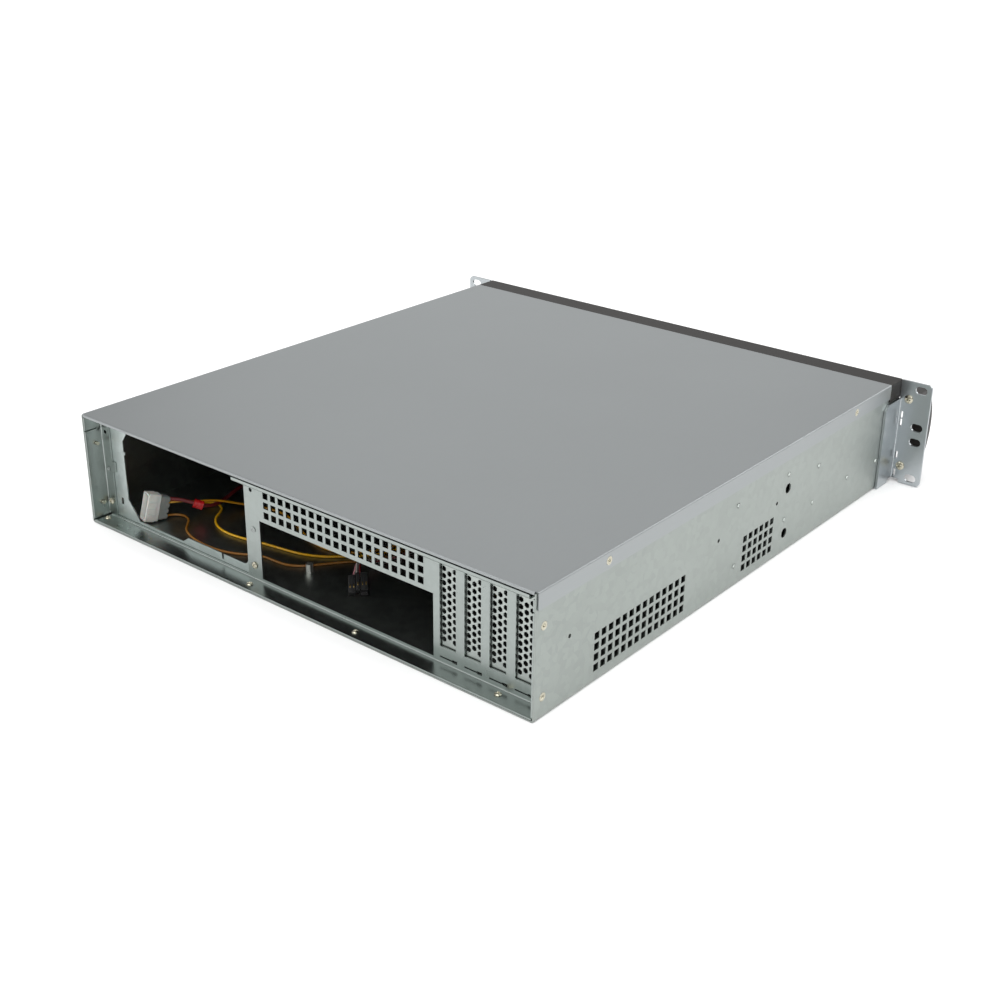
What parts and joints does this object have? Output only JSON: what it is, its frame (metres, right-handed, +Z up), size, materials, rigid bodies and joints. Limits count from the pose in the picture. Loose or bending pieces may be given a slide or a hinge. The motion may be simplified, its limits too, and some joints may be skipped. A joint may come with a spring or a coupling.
{
  "type": "rackmount server case",
  "caption": "Low rackmount computer case of folded sheet steel, with slotted rack ears, bow handles, drive bays, front fans and an open rear board window.",
  "frame": {"origin": "centre of the overall footprint, on the case's underside", "axes": "X runs across the case, the front with its handles faces -Y, the rear with its slots faces +Y, and Z is up"},
  "size_m": [0.4826, 0.511, 0.088],
  "materials": {
    "galvanised": "satin hot-dip galvanised sheet with a fine spangle",
    "cover_grey": "satin grey sheet",
    "zinc_plate": "bright bluish zinc plate",
    "black_paint": "satin black powder paint",
    "black_plastic": "fine matt moulding",
    "grey_plastic": "matt moulding",
    "screw_zinc": "yellowish zinc plate",
    "nickel": "bright nickel plate",
    "board_green": "solder resist",
    "lens": "clouded lens",
    "nylon": "translucent white nylon",
    "lead_red": "vinyl insulation",
    "crimp_red": "vinyl sleeve",
    "lead_yellow": "vinyl insulation",
    "lead_grey": "vinyl insulation"
  },
  "bodies": {
    "chassis": {"base_tray": "galvanised", "board_standoffs": "nickel", "rear_panel": "galvanised", "psu_plate": "galvanised", "slot_cover_1": "galvanised", "slot_cover_2": "galvanised", "slot_cover_3": "galvanised", "slot_cover_4": "galvanised", "top_cover": "cover_grey", "ear_right": "zinc_plate", "ear_left": "zinc_plate", "handle_right": "black_paint", "handle_left": "black_paint", "front_panel": "black_paint", "drive_cage": "galvanised", "bay_cover_lower": "black_plastic", "bay_cover_upper": "black_plastic", "fan_frame_1": "black_plastic", "fan_frame_2": "black_plastic", "control_board": "board_green", "board_posts": "nickel", "status_lights": "lens", "data_ports": "nickel", "power_plug": "nylon", "power_socket": "nylon", "header_connectors": "black_plastic", "supply_lead_red": "lead_red", "supply_lead_yellow": "lead_yellow", "fan_lead_outer": "lead_yellow", "fan_lead_inner": "lead_red", "panel_ribbon": "lead_grey", "crimp_sleeve": "crimp_red", "cover_screws": "screw_zinc", "wall_screws": "screw_zinc", "plate_screws": "screw_zinc", "ledge_screws": "screw_zinc", "slot_screws": "screw_zinc", "plate_rivets": "zinc_plate", "handle_screws": "screw_zinc", "fan_screws": "screw_zinc", "cage_screws": "screw_zinc"},
    "fan_1": {"fan_rotor_1": "black_plastic"},
    "fan_2": {"fan_rotor_2": "black_plastic"},
    "power_key": {"power_button": "grey_plastic"},
    "reset_key": {"reset_button": "grey_plastic"}
  },
  "joints": [
    {"name": "fan_1_spin", "type": "hinge", "parent": "chassis", "child": "fan_1", "pos_m": [0.045, -0.2078, 0.044], "axis": [0, 1, 0], "continuous": true},
    {"name": "fan_2_spin", "type": "hinge", "parent": "chassis", "child": "fan_2", "pos_m": [0.15, -0.2078, 0.044], "axis": [0, 1, 0], "continuous": true},
    {"name": "power_button_press", "type": "slide", "parent": "chassis", "child": "power_key", "axis": [0, 1, 0], "range_m": [0, 0.0012], "stiffness_N_per_m": 400, "springref_m": -0.001},
    {"name": "reset_button_press", "type": "slide", "parent": "chassis", "child": "reset_key", "axis": [0, 1, 0], "range_m": [0, 0.0012], "stiffness_N_per_m": 400, "springref_m": -0.001}
  ]
}
